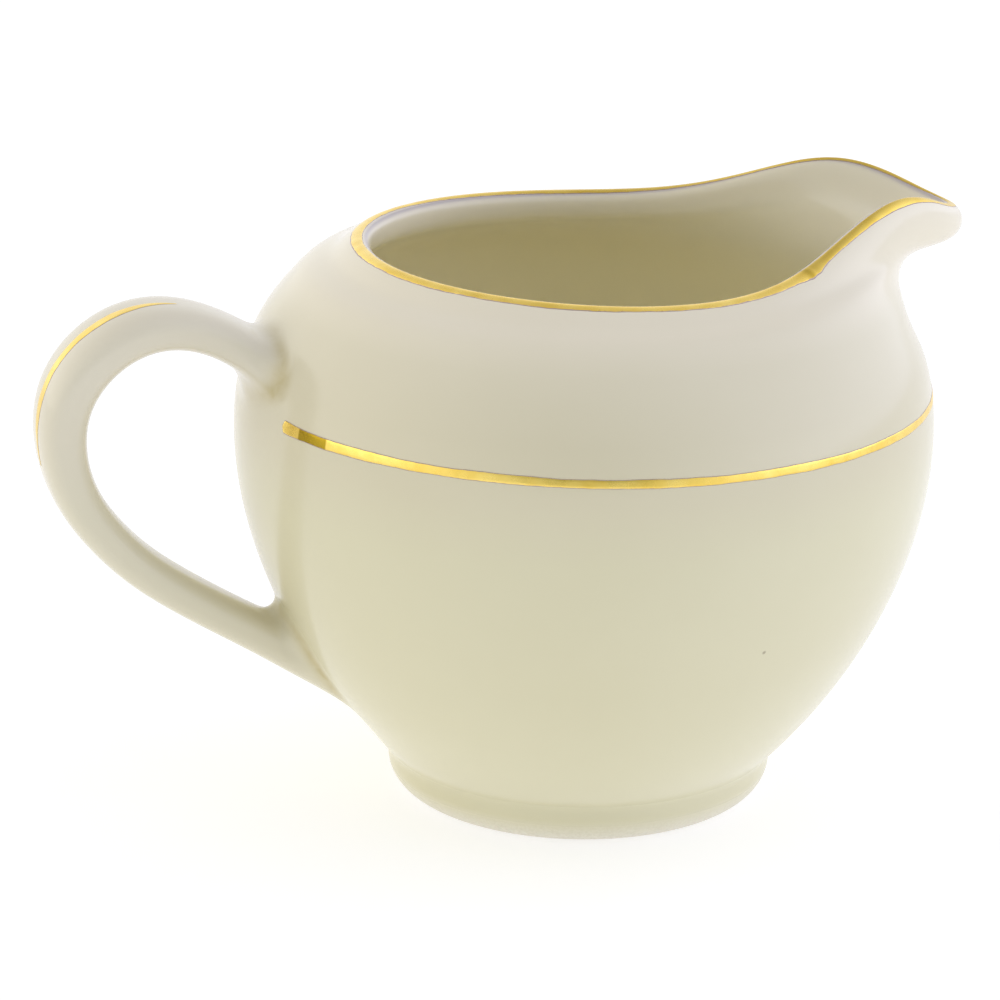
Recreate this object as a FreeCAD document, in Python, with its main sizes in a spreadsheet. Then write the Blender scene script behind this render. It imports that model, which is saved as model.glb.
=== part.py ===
import FreeCAD, Part
import Sketcher
import math
import os

# Porcelain cream jug: a squat round body on a foot ring, a pulled spout on +X,
# an ear-shaped handle on -X, and hand-gilded lines on rim, belly and handle.
# Millimetres and degrees; the origin is the centre of the foot ring on the table, +Z up.

os.makedirs("parts", exist_ok=True)
doc = FreeCAD.newDocument("cream_jug")
V = FreeCAD.Vector

DIMENSIONS = [
    ("belly_radius", 47.5),       # widest radius of the body
    ("belly_height", 51.7),       # height of the widest circle
    ("lower_reach", 46.1),        # curvature length of the body below the belly
    ("lower_taper", -153.0),      # how slowly the lower body straightens
    ("upper_reach", 49.7),        # curvature length of the shoulder
    ("upper_taper", 23.75),       # how quickly the shoulder closes in
    ("wall_thickness", 3.0),
    ("floor_thickness", 3.6),
    ("mouth_radius", 30.25),      # crest circle of the lip
    ("rim_height", 76.4),         # crest beside the handle-to-spout line
    ("rim_tilt", 1.4),            # the crest climbs this much more at the handle
    ("lip_radius", 1.1),          # half the thickness of the rounded lip
    ("spout_reach", 18.4),        # how far the pouring tip runs out beyond the drawn-out mouth
    ("spout_spread", 19.8),       # angle over which the tip narrows
    ("mouth_draw", 3.5),          # how far the whole front of the mouth is drawn out
    ("draw_spread", 57.5),
    ("spout_rise", 12.0),         # crest height gained towards the spout
    ("rise_spread", 36.5),
    ("spout_dip", 7.4),           # how much lower the pouring tip is than its shoulders
    ("dip_spread", 11.6),
    ("foot_outer_radius", 26.4),
    ("foot_inner_radius", 19.6),
    ("foot_height", 4.5),
    ("foot_outer_round", 4.1),
    ("foot_inner_round", 1.5),
    ("foot_top_round", 0.3),
    ("handle_arm_depth", 5.3),    # thickness of the lower arm, seen from the side
    ("handle_bend_depth", 6.75),  # thickness at the outermost bend, seen from the side
    ("handle_root_depth", 1.2),    # how much thicker it grows into the wall
    ("handle_root_breadth", 9.5),  # how much broader it grows into the wall at its upper root
    ("handle_arm_breadth", 9.4),  # sideways breadth of the lower arm
    ("handle_thumb_breadth", 13.2),
    ("joint_flare", 1.7),         # how far the luting slip spreads sideways over the wall
    ("joint_length", 3.6),        # how far it climbs along the handle
    ("gilding", 0.15),            # stated thickness of the painted gold
    ("belly_line_height", 58.4),
    ("belly_line_width", 1.1),
    ("belly_line_gap", 16.3),     # half of the unpainted angle behind the handle
    ("handle_line_width", 2.4),
    ("handle_line_start", 0.205), # share of the handle's length
    ("handle_line_end", 0.53),
    ("rim_line_outside", 1.55),   # how far the gold runs down the outside of the lip
    ("rim_line_inside", 0.65),
]


def driving_sheet():
    sheet = doc.addObject("Spreadsheet::Sheet", "dimensions")
    for row, (alias, value) in enumerate(DIMENSIONS, start=1):
        sheet.set(f"A{row}", alias)
        sheet.set(f"B{row}", str(value))
        sheet.setAlias(f"B{row}", alias)
    doc.recompute()
    return sheet


sheet = driving_sheet()


def size(alias):
    return float(sheet.get(alias))


# ---------- smooth skins from nets of poles ----------

def through(points, closed):
    """Poles that bring a cubic curve back out to these points instead of cutting inside them."""
    count = len(points)
    poles = list(points)
    for i in range(count):
        if closed or 0 < i < count - 1:
            bend = points[i - 1] - points[i] * 2 + points[(i + 1) % count]
            poles[i] = points[i] - bend / 6
    return poles


def skin(rings, closed_length=False):
    """Cubic surface over closed rings of points, one ring after another along the length."""
    around = len(rings[0])
    along = len(rings)
    rounded = [through(ring, True) for ring in rings]
    poles = [through([ring[i] for ring in rounded], closed_length) for i in range(around)]
    around_knots = [float(k) for k in range(around + 1)]
    around_mults = [1] * (around + 1)
    if closed_length:
        along_knots = [float(k) for k in range(along + 1)]
        along_mults = [1] * (along + 1)
    else:
        along_knots = [float(k) for k in range(along - 2)]
        along_mults = [4] + [1] * (along - 4) + [4]
    surface = Part.BSplineSurface()
    surface.buildFromPolesMultsKnots(poles, around_mults, along_mults, around_knots, along_knots,
                                     True, closed_length, 3, 3)
    return surface


def solid_from(faces):
    shell = Part.Shell(faces)
    if len(faces) > 1:
        shell.sewShape()
    solid = Part.Solid(shell)
    if solid.Volume < 0:
        solid.reverse()
    return solid


def capped_solid(rings):
    """Solid inside a skin whose first and last rings are flat."""
    surface = skin(rings)
    face = surface.toShape()
    last = surface.bounds()[3]
    caps = [Part.Face(Part.Wire(surface.vIso(v).toShape())) for v in (0.0, last)]
    return solid_from([face] + caps)


# ---------- the bowl ----------

BOWL_STEPS = 72     # half sections round the bowl
CREST_ROW = 25      # place of the crest of the lip in every half section


def body_radius(height):
    """Outer radius of the round body: an ellipse whose curvature changes steadily with height."""
    rise = height - size("belly_height")
    if rise > 0:
        flatness = (rise / size("upper_reach")) ** 2 * (1.0 + rise / size("upper_taper"))
    else:
        flatness = (rise / size("lower_reach")) ** 2 * (1.0 - rise / size("lower_taper"))
    return size("belly_radius") * math.sqrt(1.0 - flatness)


def outer_point(height):
    return (body_radius(height), height)


def inner_point(height):
    """Point of the inner wall, one wall thickness in along the normal of the outer wall."""
    step = 0.01
    slope = (body_radius(height + step) - body_radius(height - step)) / (2 * step)
    length = math.hypot(1.0, slope)
    wall = size("wall_thickness")
    return (body_radius(height) - wall / length, height + wall * slope / length)


def spout_draw(angle):
    """How far the crest is pulled out beyond the mouth circle."""
    tip = size("spout_reach") * math.exp(-(abs(angle) / size("spout_spread")) ** 1.45)
    front = size("mouth_draw") * math.exp(-(angle / size("draw_spread")) ** 2)
    return tip + front


def rim_lift(angle):
    """Height of the crest above the level rim."""
    tilt = size("rim_tilt") * math.cos(math.radians(angle))
    shoulder = size("spout_rise") * math.exp(-(abs(angle) / size("rise_spread")) ** 1.8)
    dip = size("spout_dip") * math.exp(-(angle / size("dip_spread")) ** 2)
    return shoulder - dip - tilt


def lip_net():
    """Half section from the outer shoulder over the lip to the inner shoulder.

    Each row: the point on the round rim, the point at the pouring tip, and
    the share of the crest's extra height that the row takes part in.
    """
    mouth = size("mouth_radius")
    rim = size("rim_height")
    lip = size("lip_radius")
    tip = mouth + spout_draw(0.0)
    tip_rim = rim + rim_lift(0.0)
    return [
        (outer_point(66.0), (43.9, 66.0), 0.0),
        (outer_point(69.0), (43.4, 69.2), 0.04),
        (outer_point(71.6), (43.7, 71.6), 0.14),
        (outer_point(73.6), (46.4, 73.5), 0.30),
        ((mouth + 4.35, rim - 1.75), (tip - 1.5, 74.2), 0.42),
        ((mouth + 2.7, rim - 0.85), (tip + 1.25, tip_rim - 4.1), 0.68),
        ((mouth + lip, rim - 0.15), (tip + 1.7, tip_rim - 1.7), 0.93),
        ((mouth, rim), (tip, tip_rim), 1.0),
        ((mouth - 0.9 * lip, rim - 0.6), (tip - 1.4, tip_rim - 0.4), 1.0),
        ((mouth - 1.1 * lip, rim - 1.8), (tip - 2.6, tip_rim - 1.5), 0.92),
        ((mouth - 0.3, rim - 3.6), (tip - 4.6, tip_rim - 3.4), 0.75),
        ((mouth + 1.6, rim - 4.7), (45.0, 76.0), 0.52),
        ((mouth + 4.2, rim - 5.9), (43.4, 72.9), 0.30),
        ((mouth + 7.0, rim - 7.6), (42.0, 70.2), 0.12),
        ((mouth + 9.8, rim - 10.0), (41.8, 67.0), 0.02),
    ]


def meridian(angle):
    """The wall's half section at one angle, from the underside round to the floor."""
    seat = size("foot_height")
    floor = seat + size("floor_thickness")
    share = spout_draw(angle) / spout_draw(0.0)
    extra = rim_lift(angle) - share * rim_lift(0.0)
    points = [(radius, seat) for radius in (11.0, 15.0, 19.0, 22.5, 24.6)]
    points.append((body_radius(5.4) + 0.1, 5.4))
    points += [outer_point(height) for height in (8, 12, 17, 22, 27, 32, 37, 42, 47, 52, 57, 62)]
    for (radius, height), (tip_radius, tip_height), lifted in lip_net():
        points.append((radius + share * (tip_radius - radius),
                       height + share * (tip_height - height) + lifted * extra))
    points += [inner_point(height) for height in (64, 59.5, 55, 50, 45, 40, 35, 30, 25, 20, 15.5)]
    points += [(26.0, floor + 1.6), (22.5, floor + 0.35), (18.5, floor), (14.5, floor), (11.0, floor)]
    return points


def ring_of(radius, height):
    turns = [2.0 * math.pi * step / BOWL_STEPS for step in range(BOWL_STEPS)]
    return [V(radius * math.cos(turn), radius * math.sin(turn), height) for turn in turns]


def bowl_rings():
    """Rings round the bowl, drawn out towards +X where the spout is."""
    sections = []
    for step in range(BOWL_STEPS):
        angle = 360.0 * step / BOWL_STEPS
        turned = angle - 360.0 if angle > 180.0 else angle
        sections.append((math.radians(angle), meridian(turned)))
    rows = len(sections[0][1])
    return [[V(section[row][0] * math.cos(turn), section[row][0] * math.sin(turn), section[row][1])
             for turn, section in sections] for row in range(rows)]


def make_round_body():
    """The body filled solid, without the spout; it trims whatever is luted or painted on."""
    return capped_solid([ring_of(radius, height) for radius, height in meridian(180.0)[:CREST_ROW + 1]])


# ---------- the foot ring ----------

def make_foot_ring():
    body = doc.addObject("PartDesign::Body", "foot_ring")
    sketch = body.newObject("Sketcher::SketchObject", "foot_section")
    plane = [f for f in body.Origin.OriginFeatures if f.Role == "XZ_Plane"][0]
    sketch.AttachmentSupport = [(plane, "")]
    sketch.MapMode = "FlatFace"
    inner, outer, top = size("foot_inner_radius"), size("foot_outer_radius"), size("foot_height")
    corners = [V(inner, 0, 0), V(outer, 0, 0), V(outer, top, 0), V(inner, top, 0)]
    for index in range(4):
        sketch.addGeometry(Part.LineSegment(corners[index], corners[(index + 1) % 4]), False)
    for index in range(4):
        sketch.addConstraint(Sketcher.Constraint("Coincident", index, 2, (index + 1) % 4, 1))
    for index in (0, 2):
        sketch.addConstraint(Sketcher.Constraint("Horizontal", index))
    for index in (1, 3):
        sketch.addConstraint(Sketcher.Constraint("Vertical", index))
    sketch.addConstraint(Sketcher.Constraint("PointOnObject", 0, 1, -1))
    bind(sketch, Sketcher.Constraint("DistanceX", -1, 1, 0, 1, inner), "foot_inner_radius")
    bind(sketch, Sketcher.Constraint("DistanceX", -1, 1, 0, 2, outer), "foot_outer_radius")
    bind(sketch, Sketcher.Constraint("DistanceY", 1, 1, 1, 2, top), "foot_height")
    doc.recompute()
    turned = body.newObject("PartDesign::Revolution", "foot_turned")
    turned.Profile = sketch
    turned.ReferenceAxis = (sketch, ["V_Axis"])
    turned.Angle = 360.0
    doc.recompute()
    rounded = turned
    for name, radius, height, alias in (("outer_round", outer, 0.0, "foot_outer_round"),
                                        ("inner_round", inner, 0.0, "foot_inner_round"),
                                        ("top_round", outer, top, "foot_top_round")):
        edge = circle_edge(rounded.Shape, radius, height)
        fillet = body.newObject("PartDesign::Fillet", name)
        fillet.Base = (rounded, [edge])
        fillet.setExpression("Radius", "dimensions." + alias)
        doc.recompute()
        rounded = fillet
    return body


def bind(sketch, constraint, alias):
    index = sketch.addConstraint(constraint)
    sketch.setExpression(f"Constraints[{index}]", "dimensions." + alias)


def circle_edge(shape, radius, height):
    """Name of the circular edge with this radius at this height."""
    for number, edge in enumerate(shape.Edges, start=1):
        round_edge = isinstance(edge.Curve, Part.Circle) and abs(edge.Curve.Radius - radius) < 1e-6
        if round_edge and abs(edge.Curve.Center.z - height) < 1e-6:
            return f"Edge{number}"
    raise RuntimeError("no such edge")


# ---------- the handle ----------

# Centre line of the handle in its own plane: distance from the axis towards -X, and height.
HANDLE_PATH = [
    (36.4, 57.1), (40.9, 60.8), (45.3, 64.5), (50.1, 67.7), (55.2, 69.7), (60.4, 69.9), (65.2, 68.1),
    (69.2, 64.6), (71.6, 60.2), (72.2, 55.4), (71.5, 50.5), (69.5, 45.5), (66.0, 40.7), (61.5, 36.1),
    (55.4, 31.8), (49.1, 27.9), (42.9, 24.2), (36.7, 20.8), (30.5, 17.5),
]
HANDLE_RINGS = 40
SECTION_STEPS = 16
SECTION_SQUARENESS = 2.8     # 2 is a true ellipse; more gives flatter faces and rounder corners


def clamped_curve(points):
    count = len(points)
    mults = [4] + [1] * (count - 4) + [4]
    knots = [k / (count - 3.0) for k in range(count - 2)]
    curve = Part.BSplineCurve()
    curve.buildFromPolesMultsKnots(points, mults, knots, False, 3)
    return curve


def handle_curve():
    return clamped_curve([V(-reach, 0, height) for reach, height in HANDLE_PATH])


def handle_depth(t):
    """Thickness seen from the side: fullest at the outermost bend and where it meets the wall."""
    arm = size("handle_arm_depth")
    bend = (size("handle_bend_depth") - arm) * hump(t, 0.41, 0.20)
    roots = hump(t, 0.0, 0.07) + 1.5 * hump(t, 1.0, 0.06)
    return arm + bend + size("handle_root_depth") * roots


def handle_breadth(t):
    """Sideways breadth: broad at the upper root and under the thumb, narrower down the arm."""
    arm = size("handle_arm_breadth")
    thumb = (size("handle_thumb_breadth") - arm) * hump(t, 0.30, 0.24)
    return arm + thumb + size("handle_root_breadth") * hump(t, 0.0, 0.085)


def hump(t, middle, spread):
    """Smooth swelling that is 1 at its middle and dies away over the spread on each side."""
    return math.exp(-((t - middle) / spread) ** 2)


def oval(step, seam=0.0):
    """Point of a squarish oval of half-sizes 1 and 1."""
    turn = seam + 2 * math.pi * step / SECTION_STEPS
    power = 2.0 / SECTION_SQUARENESS
    return (math.copysign(abs(math.cos(turn)) ** power, math.cos(turn)),
            math.copysign(abs(math.sin(turn)) ** power, math.sin(turn)))


def handle_ring(curve, t, depth_spread=0.0, breadth_spread=0.0, seam=0.0):
    """Oval ring square to the handle's centre line, beginning at the seam angle."""
    centre = curve.value(t)
    across = V(0, 1, 0)
    outward = across.cross(curve.tangent(t)[0])
    half_depth = handle_depth(t) / 2 + depth_spread
    half_breadth = handle_breadth(t) / 2 + breadth_spread
    return [centre + outward * (half_depth * x) + across * (half_breadth * y)
            for x, y in (oval(step, seam) for step in range(SECTION_STEPS))]


def make_raw_handle():
    curve = handle_curve()
    return capped_solid([handle_ring(curve, i / (HANDLE_RINGS - 1.0)) for i in range(HANDLE_RINGS)])


def wall_crossing(curve, outside, inside):
    """Where along the centre line it passes through the outer wall."""
    for _ in range(40):
        middle = (outside + inside) / 2
        point = curve.value(middle)
        if math.hypot(point.x, point.y) < body_radius(point.z):
            inside = middle
        else:
            outside = middle
    return outside


def make_raw_joint(outside, inside):
    """Luting slip round one root: a flare that leaves the handle and spreads over the wall."""
    curve = handle_curve()
    root = wall_crossing(curve, outside, inside)
    outward = math.copysign(1.0, outside - inside)
    reach = size("joint_length")
    rings = []
    for step in range(11):
        distance = reach * (1.0 - step / 7.0)
        swept = (1.0 - distance / reach) ** 2
        t = root + outward * distance / curve.length()
        rings.append(handle_ring(curve, t, 0.4 * (size("joint_flare") + 0.5) * swept - 0.4,
                                 (size("joint_flare") + 0.5) * swept - 0.5, 0.8))
    return capped_solid(rings)


# ---------- the gilded lines ----------

def lip_limit(surface, u, direction, width):
    """Surface parameter at this width from the crest, down one side of the lip."""
    crest = CREST_ROW - 1.0
    start = surface.value(u, crest)
    near, far = 0.0, 4.0
    for _ in range(30):
        middle = (near + far) / 2
        if (surface.value(u, crest + direction * middle) - start).Length < width:
            near = middle
        else:
            far = middle
    return crest + direction * near


def make_raw_rim_line():
    """Gold over the crest of the lip: the bowl's own surface, thickened outwards and a little inwards."""
    surface = skin(bowl_rings())
    sections = []
    for step in range(BOWL_STEPS):
        u = (step + BOWL_STEPS / 2) % BOWL_STEPS
        outer_end = lip_limit(surface, u, -1, size("rim_line_outside"))
        inner_end = lip_limit(surface, u, 1, size("rim_line_inside"))
        heights = [outer_end + (inner_end - outer_end) * share / 8.0 for share in range(9)]
        outline = [(v, size("gilding")) for v in heights] + [(v, -0.35) for v in reversed(heights[1:-1:2])]
        sections.append([surface.value(u, v) + surface.normal(u, v) * proud for v, proud in outline])
    rings = [[section[row] for section in sections] for row in range(len(sections[0]))]
    return solid_from([skin(rings, closed_length=True).toShape()])


def make_raw_belly_line():
    """Painted band round the belly with round brush ends, left open behind the handle."""
    width = size("belly_line_width")
    low = size("belly_line_height") - width / 2
    high = low + width
    proud = size("gilding")
    section = [(body_radius(low) - 1, low), (body_radius(low) + proud, low),
               (body_radius(high) + proud, high), (body_radius(high) - 1, high)]
    corners = [V(radius, 0, height) for radius, height in section]
    ring_face = Part.Face(Part.makePolygon(corners + corners[:1]))
    gap = size("belly_line_gap")
    painted = ring_face.copy()
    painted.rotate(V(0, 0, 0), V(0, 0, 1), 180.0 + gap)
    band = painted.revolve(V(0, 0, 0), V(0, 0, 1), 360.0 - 2 * gap)
    whole = ring_face.revolve(V(0, 0, 0), V(0, 0, 1), 360.0)
    for side in (-1, 1):
        turn = math.radians(180.0 + side * gap)
        radial = V(math.cos(turn), math.sin(turn), 0)
        start = radial * (body_radius(low) - 4) + V(0, 0, (low + high) / 2)
        band = band.fuse(whole.common(Part.makeCylinder(width / 2, 8, start, radial)))
    return band


def make_raw_handle_line():
    """Brush stroke along the outer spine of the handle, tapering at both ends."""
    curve = handle_curve()
    first, last = size("handle_line_start"), size("handle_line_end")
    width = size("handle_line_width")
    rings = []
    for step in range(25):
        share = step / 24.0
        t = first + (last - first) * share
        along = curve.tangent(t)[0]
        outward = V(0, 1, 0).cross(along)
        spine = curve.value(t) + outward * (handle_depth(t) / 2)
        brush = max(0.12, math.sqrt(math.sin(math.pi * share)))
        rings.append(stroke_ring(spine, outward, width / 2 * brush))
    return capped_solid(rings)


def stroke_ring(spine, outward, half_width):
    """Flat oval lying on the handle; what sinks into the handle is cut away."""
    return [spine + outward * (size("gilding") * x) + V(0, half_width * y, 0)
            for x, y in (oval(step) for step in range(SECTION_STEPS))]


# ---------- the parts ----------

def add_part(name, shape):
    part = doc.addObject("Part::Feature", name)
    part.Label = name
    part.Shape = shape
    part.Placement = FreeCAD.Placement()
    return part


def make_parts():
    bowl = capped_solid(bowl_rings())
    round_body = make_round_body()
    raw_handle = make_raw_handle()
    return [
        add_part("bowl", bowl),
        make_foot_ring(),
        add_part("handle", raw_handle.cut(round_body)),
        add_part("upper_handle_joint", make_raw_joint(0.3, 0.0).cut(round_body).cut(raw_handle)),
        add_part("lower_handle_joint", make_raw_joint(0.7, 1.0).cut(round_body).cut(raw_handle)),
        add_part("rim_gold_line", make_raw_rim_line().cut(bowl)),
        add_part("belly_gold_line", make_raw_belly_line().cut(round_body)),
        add_part("handle_gold_line", make_raw_handle_line().cut(raw_handle)),
    ]


def export_parts(parts):
    doc.recompute()
    for item in doc.Objects:
        if "Invalid" in item.State or "Error" in item.State:
            raise RuntimeError(item.Name + " did not recompute")
    for part in parts:
        if part.Shape.isNull() or not part.Shape.isValid():
            raise RuntimeError(part.Label + " has no valid shape")
        part.Shape.exportStep(f"parts/{part.Label}.step")
        box = part.Shape.BoundBox
        print(part.Label, len(part.Shape.Solids), "solid", round(part.Shape.Volume, 2), "mm3",
              [round(x, 1) for x in (box.XLength, box.YLength, box.ZLength)])


export_parts(make_parts())
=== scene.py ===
import math

import bpy
import numpy as np
from mathutils import Matrix, Vector


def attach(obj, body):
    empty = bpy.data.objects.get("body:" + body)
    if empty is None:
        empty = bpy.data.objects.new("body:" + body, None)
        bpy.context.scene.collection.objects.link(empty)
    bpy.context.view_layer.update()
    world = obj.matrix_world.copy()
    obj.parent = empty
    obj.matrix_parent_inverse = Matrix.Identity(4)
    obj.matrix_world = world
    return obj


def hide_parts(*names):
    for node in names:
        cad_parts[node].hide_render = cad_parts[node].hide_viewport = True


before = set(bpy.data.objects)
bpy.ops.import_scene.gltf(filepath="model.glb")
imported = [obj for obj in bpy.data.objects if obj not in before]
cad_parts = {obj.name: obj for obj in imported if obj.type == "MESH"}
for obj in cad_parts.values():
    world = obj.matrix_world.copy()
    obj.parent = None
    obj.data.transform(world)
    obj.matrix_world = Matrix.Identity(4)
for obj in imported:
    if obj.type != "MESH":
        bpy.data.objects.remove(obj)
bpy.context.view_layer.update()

# Porcelain cream jug. Every piece follows the rules of the CAD part in the same frame: +X spout,
# -X handle, +Z up, origin in the middle of the foot ring. Beyond the CAD, the wall is drawn in a little
# behind, the belly line is tilted, the gold's edges are uneven and a few sizes are slightly different.
# Shapes are worked out in millimetres and scaled to metres as the meshes are made.

MM = 0.001

# ---------- driving dimensions, in millimetres and degrees ----------

BELLY_RADIUS = 47.5
BELLY_HEIGHT = 51.7
LOWER_REACH, LOWER_TAPER = 46.1, -153.0
UPPER_REACH, UPPER_TAPER = 49.7, 23.75
WALL = 3.0
FLOOR = 3.6
MOUTH_RADIUS = 30.25
RIM_HEIGHT = 76.4
RIM_TILT = 1.4
LIP_RADIUS = 1.1
SPOUT_REACH, SPOUT_SPREAD = 18.4, 19.8
MOUTH_DRAW, DRAW_SPREAD = 3.5, 57.5
SPOUT_RISE, RISE_SPREAD = 12.0, 36.5
SPOUT_DIP, DIP_SPREAD = 7.4, 11.6
FOOT_INNER, FOOT_HEIGHT = 19.6, 4.5
DENT, DENT_HEIGHT, DENT_SPREAD = 0.6, 12.5, 4.0
HANDLE_ARM_DEPTH, HANDLE_BEND_DEPTH, HANDLE_ROOT_DEPTH = 5.3, 6.75, 1.2
HANDLE_ARM_BREADTH, HANDLE_THUMB_BREADTH, HANDLE_ROOT_BREADTH = 9.4, 13.2, 9.5
SQUARENESS = 2.8
BELLY_LINE_HEIGHT, BELLY_LINE_WIDTH, BELLY_LINE_GAP = 58.05, 1.15, 16.3
BELLY_LINE_TILT = 0.6
# The brush starts this much fuller to each side, and thins out over this length.
BELLY_LINE_LOADED, BELLY_LINE_SPENT = 0.3, 16.0
HANDLE_LINE_WIDTH, HANDLE_LINE_START, HANDLE_LINE_END = 2.0, 0.205, 0.54
HANDLE_LINE_OFFSET = -0.95
RIM_LINE_OUTSIDE, RIM_LINE_INSIDE = 1.55, 0.65
GILDING = 0.05
HANDLE_LENGTH = 107.0
FILLET_TOP, FILLET_RADIUS, FILLET_PROUD = 6.6, 2.2, 0.012
FOOT_ROUND, SEAT_ROUND, RECESS_ROUND = 4.4, 1.5, 0.5
# How far the rim's gold ran down, and how many degrees from the spout.
SPILL, SPILL_PLACE = 0.45, 46.0

# Where along the handle, 0 to 1, to look for each root: a place outside the wall, then its end inside.
UPPER_ROOT = (0.3, 0.0)
LOWER_ROOT = (0.7, 1.0)
HANDLE_SUNK, JOINT_SUNK, GILDING_SUNK = 1.2, 0.7, 0.15

# Tones inside the lip, counted in rows of the bowl's net from the crest inwards; those on the upper inside
# wall and deeper in are painted light.
HALO_ROW, HALO_SPREAD = 0.62, 0.3
UPPER_INSIDE_START, UPPER_INSIDE_FADE = 1.5, 2.5
INSIDE_START, INSIDE_SPOUT, INSIDE_FADE = 3.2, 2.2, 3.8

CAMERA_AZIMUTH, CAMERA_ELEVATION, CAMERA_ROLL = 16.0, 18.28, 0.6
CAMERA_DISTANCE = 0.6052
CAMERA_TARGET = (-0.0108, 0.0031, 0.04049)
CAMERA_SENSOR, CAMERA_LENS = 36.0, 159.2
FLOOR_RADIUS, FLOOR_DROP = 4.0, 0.0001

# How finely the nets and meshes are divided.
BOWL_STEPS = 72
CREST_ROW = 25
BOWL_COLUMNS, BOWL_ROW_STEPS = 288, 5
HANDLE_COLUMNS, HANDLE_ROWS = 96, 260
JOINT_STEPS = 16
LINE_STATIONS = 900

HANDLE_PATH = [
    (36.4, 57.1), (40.9, 60.8), (45.3, 64.5), (50.1, 67.7), (55.2, 69.7), (60.4, 69.9), (65.2, 68.1),
    (69.2, 64.6), (71.6, 60.2), (72.2, 55.4), (71.5, 50.5), (69.5, 45.5), (66.0, 40.7), (61.5, 36.1),
    (55.4, 31.8), (49.1, 27.9), (42.9, 24.2), (36.7, 20.8), (30.5, 17.5),
]


# ---------- smooth surfaces from nets of points ----------

def through(points, closed):
    """Poles that bring a cubic curve back out to these points; works along the first axis."""
    before = np.roll(points, 1, axis=0)
    after = np.roll(points, -1, axis=0)
    poles = points - (before - 2 * points + after) / 6
    if not closed:
        poles[0], poles[-1] = points[0], points[-1]
    return poles


def cubic_weights(t):
    """Weights of the four poles round a place t (0 to 1) between two rows."""
    before = 3 * t ** 3 - 6 * t ** 2 + 4
    after = -3 * t ** 3 + 3 * t ** 2 + 3 * t + 1
    return np.stack([(1 - t) ** 3, before, after, t ** 3]) / 6


class Net:
    """Cubic surface through rows of closed rings; u runs round a ring, v from row to row."""

    def __init__(self, rings):
        rounded = through(np.swapaxes(np.array(rings), 0, 1), True)
        poles = through(np.swapaxes(rounded, 0, 1), False)
        first = 2 * poles[:1] - poles[1:2]
        last = 2 * poles[-1:] - poles[-2:-1]
        self.poles = np.concatenate([first, poles, last])
        self.rows = len(poles)
        self.around = poles.shape[1]

    def point(self, u, v):
        u, v = np.broadcast_arrays(np.asarray(u, float), np.asarray(v, float))
        row = np.clip(np.floor(v), 0, self.rows - 2).astype(int)
        column = np.floor(u).astype(int)
        along = cubic_weights(v - row)
        round_it = cubic_weights(u - column)
        total = np.zeros(u.shape + (3,))
        for i in range(4):
            for j in range(4):
                pole = self.poles[row + i, (column + j - 1) % self.around]
                total += (along[i] * round_it[j])[..., None] * pole
        return total

    def normal(self, u, v):
        step = 0.02
        across = self.point(u + step, v) - self.point(u - step, v)
        along = self.point(u, np.asarray(v) + step) - self.point(u, np.asarray(v) - step)
        return unit(np.cross(across, along))


def unit(vectors):
    return vectors / np.linalg.norm(vectors, axis=-1, keepdims=True)


# ---------- the bowl's shape ----------

def body_radius(height):
    rise = np.asarray(height, float) - BELLY_HEIGHT
    upper = (rise / UPPER_REACH) ** 2 * (1 + rise / UPPER_TAPER)
    lower = (rise / LOWER_REACH) ** 2 * (1 - rise / LOWER_TAPER)
    return BELLY_RADIUS * np.sqrt(1 - np.where(rise > 0, upper, lower))


def body_slope(height):
    """How fast the body's radius grows with height."""
    return (body_radius(height + 0.01) - body_radius(height - 0.01)) / 0.02


def outer_point(height):
    return (float(body_radius(height)), height)


def inner_point(height):
    slope = float(body_slope(height))
    length = math.hypot(1.0, slope)
    return (float(body_radius(height)) - WALL / length, height + WALL * slope / length)


def spout_draw(angle):
    tip = SPOUT_REACH * math.exp(-(abs(angle) / SPOUT_SPREAD) ** 1.45)
    return tip + MOUTH_DRAW * math.exp(-(angle / DRAW_SPREAD) ** 2)


def rim_lift(angle):
    shoulder = SPOUT_RISE * math.exp(-(abs(angle) / RISE_SPREAD) ** 1.8)
    dip = SPOUT_DIP * math.exp(-(angle / DIP_SPREAD) ** 2)
    return shoulder - dip - RIM_TILT * math.cos(math.radians(angle))


def lip_net():
    """From shoulder over the lip to inside: plain point, point at the spout's tip, share of the lift."""
    tip = MOUTH_RADIUS + spout_draw(0.0)
    tip_rim = RIM_HEIGHT + rim_lift(0.0)
    mouth, rim, lip = MOUTH_RADIUS, RIM_HEIGHT, LIP_RADIUS
    return [
        (outer_point(66.0), (43.9, 66.0), 0.0),
        (outer_point(69.0), (43.4, 69.2), 0.04),
        (outer_point(71.6), (43.7, 71.6), 0.14),
        (outer_point(73.6), (46.4, 73.5), 0.30),
        ((mouth + 4.35, rim - 1.75), (tip - 1.5, 74.2), 0.42),
        ((mouth + 2.7, rim - 0.85), (tip + 1.25, tip_rim - 4.1), 0.68),
        ((mouth + lip, rim - 0.15), (tip + 1.7, tip_rim - 1.7), 0.93),
        ((mouth, rim), (tip, tip_rim), 1.0),
        ((mouth - 0.9 * lip, rim - 0.6), (tip - 1.4, tip_rim - 0.4), 1.0),
        ((mouth - 1.1 * lip, rim - 1.8), (tip - 2.6, tip_rim - 1.5), 0.92),
        ((mouth - 0.3, rim - 3.6), (tip - 4.6, tip_rim - 3.4), 0.75),
        ((mouth + 1.6, rim - 4.7), (45.0, 76.0), 0.52),
        ((mouth + 4.2, rim - 5.9), (43.4, 72.9), 0.30),
        ((mouth + 7.0, rim - 7.6), (42.0, 70.2), 0.12),
        ((mouth + 9.8, rim - 10.0), (41.8, 67.0), 0.02),
    ]


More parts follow.
